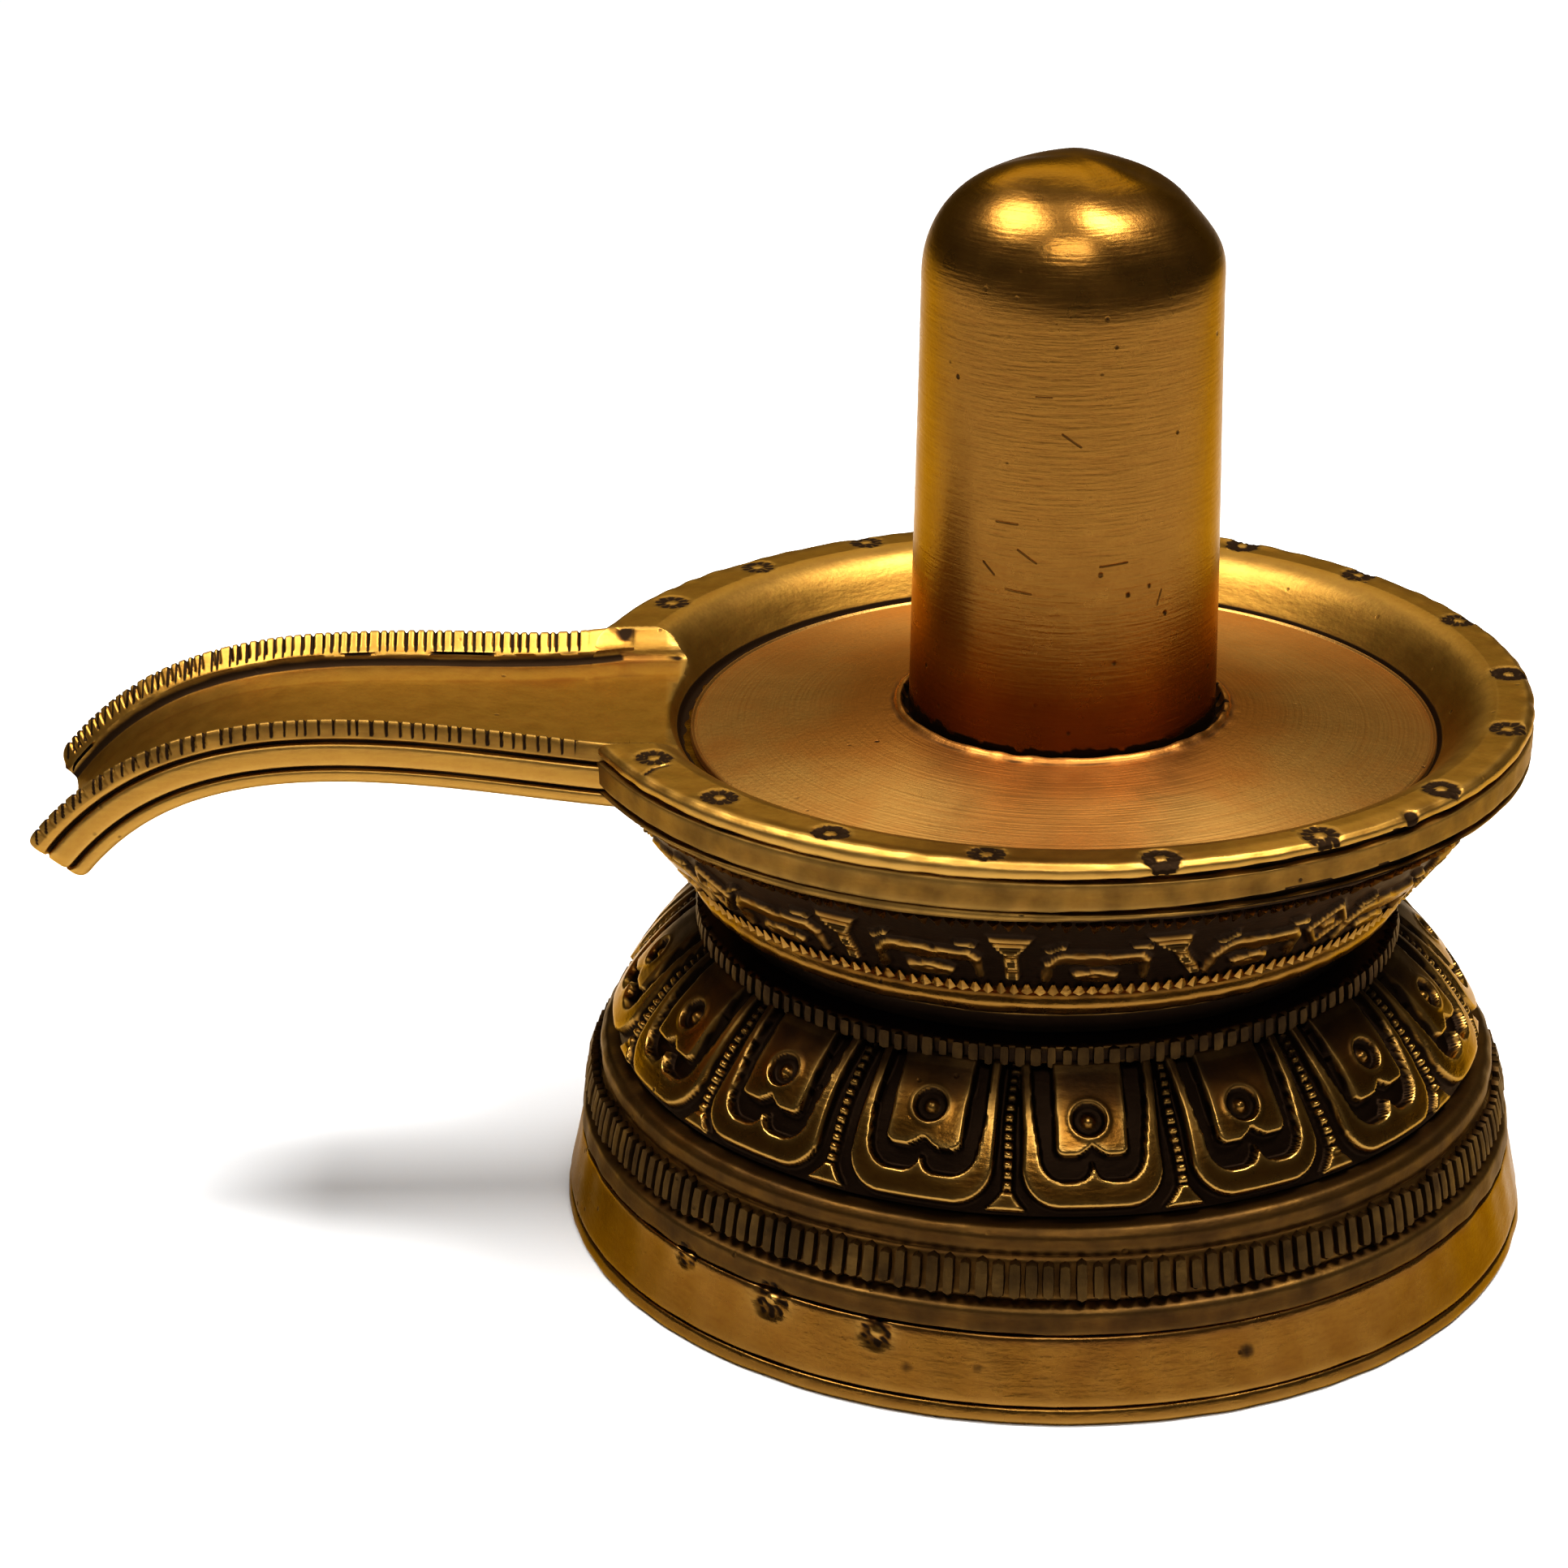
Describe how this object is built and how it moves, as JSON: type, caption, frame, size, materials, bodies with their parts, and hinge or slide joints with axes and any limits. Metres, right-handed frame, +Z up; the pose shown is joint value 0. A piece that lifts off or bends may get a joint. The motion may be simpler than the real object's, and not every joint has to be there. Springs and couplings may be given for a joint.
{
  "type": "shiva lingam",
  "caption": "Cast brass shiva lingam: a domed pillar set in a round spouted yoni dish on a lotus-petal drum base.",
  "frame": {"origin": "centre of the drum base's round underside", "axes": "+Z up through the pillar, -X along the channel spout, +Y to the side"},
  "size_m": [0.1742, 0.1144, 0.127],
  "materials": {
    "aged_brass": "satin, dark patina in the carving",
    "dish_brass": "satin, turned and hand-filed",
    "pillar_brass": "satin, finely brushed and worn"
  },
  "bodies": {
    "root": {"lotus_base": "aged_brass", "yoni_dish": "dish_brass", "shiva_lingam": "pillar_brass"}
  },
  "joints": []
}
